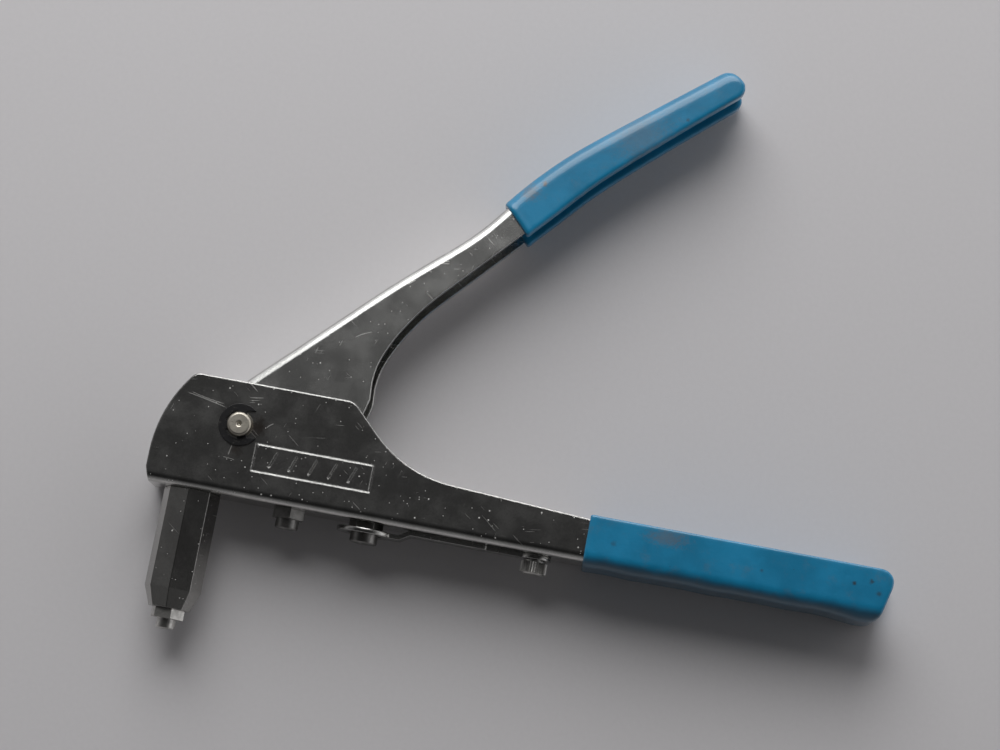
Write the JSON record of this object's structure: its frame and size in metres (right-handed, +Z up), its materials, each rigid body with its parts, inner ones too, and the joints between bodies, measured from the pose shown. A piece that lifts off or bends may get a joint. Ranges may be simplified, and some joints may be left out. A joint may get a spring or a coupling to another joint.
{
  "type": "hand rivet setter",
  "caption": "Pressed-steel hand plier that pulls blind rivets, with a sprung lever, jaws in an octagonal barrel, stored nosepieces and a wrench, and dipped vinyl grips.",
  "frame": {"origin": "mouth of the mounted nosepiece's bore, on the barrel's centre line", "axes": "+X along the fixed handle from the nose to the handle ends, +Y from the nose mouth towards the moving handle, +Z up along the pivot pin, with the tool lying on its side"},
  "size_m": [0.2488, 0.2187, 0.0285],
  "materials": {
    "plated_steel": "bright nickel plate, scratched and speckled with wear",
    "machined_steel": "turned steel, dull and slightly stained",
    "wrench_steel": "pressed steel with worn plating",
    "black_steel": "blackened spring steel",
    "spring_steel": "drawn spring wire",
    "blue_vinyl": "dipped vinyl, soft gloss with a few dirt marks"
  },
  "bodies": {
    "body": {"body_frame": "plated_steel", "lower_grip": "blue_vinyl", "barrel": "plated_steel", "barrel_cap_nut": "machined_steel", "nosepiece": "machined_steel", "spare_nosepiece_a": "machined_steel", "spare_nosepiece_b": "machined_steel", "wrench": "wrench_steel", "pivot_pin": "machined_steel", "pivot_clip": "black_steel", "return_spring": "spring_steel"},
    "handle_lever": {"lever": "plated_steel", "upper_grip": "blue_vinyl"},
    "puller": {"pull_tube": "machined_steel", "pull_collar": "machined_steel", "pull_lock_nut": "machined_steel", "jaw_case": "machined_steel", "pusher_spring": "spring_steel"},
    "pusher": {"jaw_pusher": "machined_steel"},
    "jaw_a": {"jaw_1": "machined_steel"},
    "jaw_b": {"jaw_2": "machined_steel"},
    "jaw_c": {"jaw_3": "machined_steel"},
    "screw": {"thumb_screw": "machined_steel"}
  },
  "joints": [
    {"name": "lever_hinge", "type": "hinge", "parent": "body", "child": "handle_lever", "pos_m": [0.0125, 0.07, 0], "axis": [0, 0, -1], "range_deg": [0, 38], "stiffness_Nm_per_rad": 0.4, "springref_deg": -22.92},
    {"name": "puller_slide", "type": "slide", "parent": "body", "child": "puller", "axis": [0, 1, 0], "range_m": [0, 0.0083], "deforming": ["return_spring"]},
    {"name": "pusher_slide", "type": "slide", "parent": "puller", "child": "pusher", "axis": [0, -1, 0], "range_m": [0, 0.0012], "deforming": ["pusher_spring"]},
    {"name": "jaw_a_slide", "type": "slide", "parent": "puller", "child": "jaw_a", "axis": [-0.2079, -0.9781, 0], "range_m": [0, 0.00123]},
    {"name": "jaw_b_slide", "type": "slide", "parent": "puller", "child": "jaw_b", "axis": [0.104, -0.9781, 0.1801], "range_m": [0, 0.00123]},
    {"name": "jaw_c_slide", "type": "slide", "parent": "puller", "child": "jaw_c", "axis": [0.104, -0.9781, -0.1801], "range_m": [0, 0.00123]},
    {"name": "thumb_screw_spin", "type": "hinge", "parent": "body", "child": "screw", "pos_m": [0.1164, 0.0465, 0], "axis": [0, 1, 0], "continuous": true}
  ],
  "couplings": [
    {"joint": "puller_slide", "follows": "lever_hinge", "m_per_rad": 0.0125},
    {"joint": "pusher_slide", "follows": "lever_hinge", "m_per_rad": 0.0018},
    {"joint": "jaw_a_slide", "follows": "lever_hinge", "m_per_rad": 0.00184},
    {"joint": "jaw_b_slide", "follows": "lever_hinge", "m_per_rad": 0.00184},
    {"joint": "jaw_c_slide", "follows": "lever_hinge", "m_per_rad": 0.00184}
  ]
}
